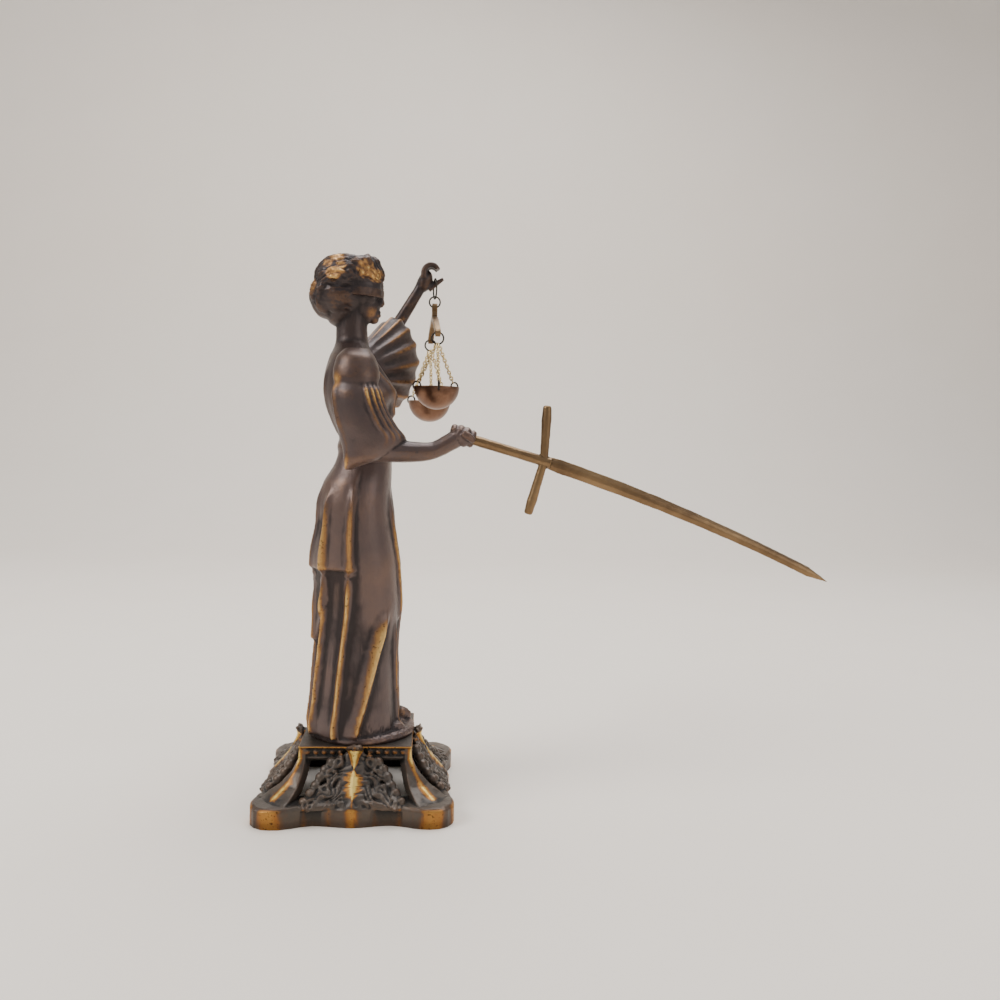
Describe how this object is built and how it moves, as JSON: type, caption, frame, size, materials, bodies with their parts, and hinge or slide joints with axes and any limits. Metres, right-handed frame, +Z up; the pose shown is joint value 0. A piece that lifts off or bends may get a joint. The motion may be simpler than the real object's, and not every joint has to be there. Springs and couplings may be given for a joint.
{
  "type": "lady justice statue",
  "caption": "Cast standing figure of Lady Justice on a pierced square plinth, holding out a sword and a raised pair of hanging scales.",
  "frame": {"origin": "bottom centre of the whole statuette's box, on the surface it stands on", "axes": "+X the way the figure faces, +Y to her left, +Z up"},
  "size_m": [0.3362, 0.1804, 0.3404],
  "materials": {
    "dark_bronze": "dark brown patina over cast brass, rubbed to gold on the ridges",
    "old_brass": "tarnished cast brass",
    "brown_copper": "brown coppery brass, smooth",
    "bright_brass": "bright brass chain",
    "blackened_wire": "blackened brass wire"
  },
  "bodies": {
    "root": {"plinth": "dark_bronze", "figure": "dark_bronze", "sword": "old_brass", "hanging_loop": "blackened_wire", "hanger_ring": "blackened_wire", "beam": "old_brass", "beam_ring_near": "blackened_wire", "beam_ring_far": "blackened_wire", "chain_near_1": "bright_brass", "chain_near_2": "bright_brass", "chain_near_3": "bright_brass", "chain_far_1": "bright_brass", "chain_far_2": "bright_brass", "chain_far_3": "bright_brass", "pan_ring_near_1": "blackened_wire", "pan_ring_near_2": "blackened_wire", "pan_ring_near_3": "blackened_wire", "pan_ring_far_1": "blackened_wire", "pan_ring_far_2": "blackened_wire", "pan_ring_far_3": "blackened_wire", "pan_near": "brown_copper", "pan_far": "brown_copper"}
  },
  "joints": []
}
